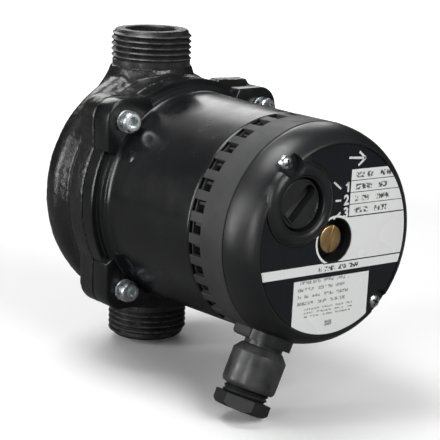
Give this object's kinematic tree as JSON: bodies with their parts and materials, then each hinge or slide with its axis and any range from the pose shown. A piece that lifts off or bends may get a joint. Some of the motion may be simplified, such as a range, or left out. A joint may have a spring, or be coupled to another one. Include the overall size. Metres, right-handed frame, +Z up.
{
  "type": "circulator pump",
  "caption": "Glandless heating circulator: threaded in-line ports, finned round motor, terminal cover with speed selector, vent screw and cable gland.",
  "frame": {"origin": "where the motor axis crosses the axis of the two ports, midway between the port faces", "axes": "+Z up along the pipe line to the delivery port, -Y along the motor axis to the label, +X to the right seen from the label"},
  "size_m": [0.0992, 0.1429, 0.1327],
  "materials": {
    "casing": "cast iron under a thin black paint, rough cast skin",
    "housing": "semi-gloss black paint on die-cast aluminium",
    "base_plastic": "matte charcoal glass-filled plastic",
    "cover_plastic": "black plastic with a fine grain",
    "knob_plastic": "charcoal plastic, satin",
    "gland_plastic": "black polyamide, satin",
    "label": "printed foil, black with white print",
    "zinc": "bright zinc plate",
    "brass": "turned brass",
    "stainless": "drawn stainless sheet",
    "lamination": "stacked electrical sheet",
    "copper": "enamelled copper wire, bandaged",
    "ceramic": "polished ceramic",
    "carbon": "carbon, satin",
    "rubber": "black rubber",
    "composite": "glass-filled polymer, natural colour",
    "capacitor": "white plastic case"
  },
  "bodies": {
    "pump": {"pump_housing": "casing", "housing_gasket": "rubber", "wear_ring": "stainless", "rear_bearing": "carbon", "front_bearing": "carbon", "bearing_plate": "stainless", "rotor_can": "stainless", "can_seal": "rubber", "vent_tube": "knob_plastic", "stator_core": "lamination", "coil_rear": "copper", "coil_front": "copper", "motor_housing": "housing", "flange_screw_1": "zinc", "flange_screw_2": "zinc", "flange_screw_3": "zinc", "flange_screw_4": "zinc", "terminal_base": "base_plastic", "base_screw_1": "zinc", "base_screw_2": "zinc", "earth_screw": "brass", "terminal_block": "composite", "terminal_screw_1": "zinc", "terminal_screw_2": "zinc", "terminal_screw_3": "zinc", "capacitor": "capacitor", "switch_body": "composite", "terminal_cover": "cover_plastic", "cover_gasket": "rubber", "cover_screw_1": "zinc", "cover_screw_2": "zinc", "name_plate": "label", "gland_body": "gland_plastic", "gland_seal": "rubber"},
    "rotor": {"rotor_shaft": "ceramic", "rotor_core": "lamination", "rotor_sleeve": "stainless", "impeller": "composite", "impeller_shroud": "composite", "thrust_disc": "carbon"},
    "selector": {"selector_knob": "knob_plastic", "switch_spindle": "knob_plastic"},
    "vent_carrier": {"vent_seal": "rubber"},
    "vent": {"vent_screw": "brass"},
    "gland_carrier": {"gland_washer": "zinc"},
    "gland_screw": {"gland_press_screw": "gland_plastic"}
  },
  "joints": [
    {"name": "rotor_spin", "type": "hinge", "parent": "pump", "child": "rotor", "pos_m": [0, -0.05, 0], "axis": [0, 1, 0], "continuous": true},
    {"name": "selector_turn", "type": "hinge", "parent": "pump", "child": "selector", "pos_m": [-0.0175, -0.11, 0.0156], "axis": [0, 1, 0], "range_deg": [0, 90]},
    {"name": "vent_travel", "type": "slide", "parent": "pump", "child": "vent_carrier", "axis": [0, 1, 0], "range_m": [-0.005, 0]},
    {"name": "vent_turn", "type": "hinge", "parent": "vent_carrier", "child": "vent", "pos_m": [0, -0.1, 0], "axis": [0, 1, 0], "range_deg": [-1801, 1]},
    {"name": "gland_travel", "type": "slide", "parent": "pump", "child": "gland_carrier", "axis": [0.4274, 0, 0.9041], "range_m": [-0.0035, 0.002]},
    {"name": "gland_turn", "type": "hinge", "parent": "gland_carrier", "child": "gland_screw", "pos_m": [-0.02821, -0.1002, -0.05967], "axis": [0.4274, 0, 0.9041], "range_deg": [-841, 481]}
  ],
  "couplings": [
    {"joint": "vent_turn", "follows": "vent_travel", "rad_per_m": 6283.2},
    {"joint": "gland_turn", "follows": "gland_travel", "rad_per_m": 4188.8}
  ]
}
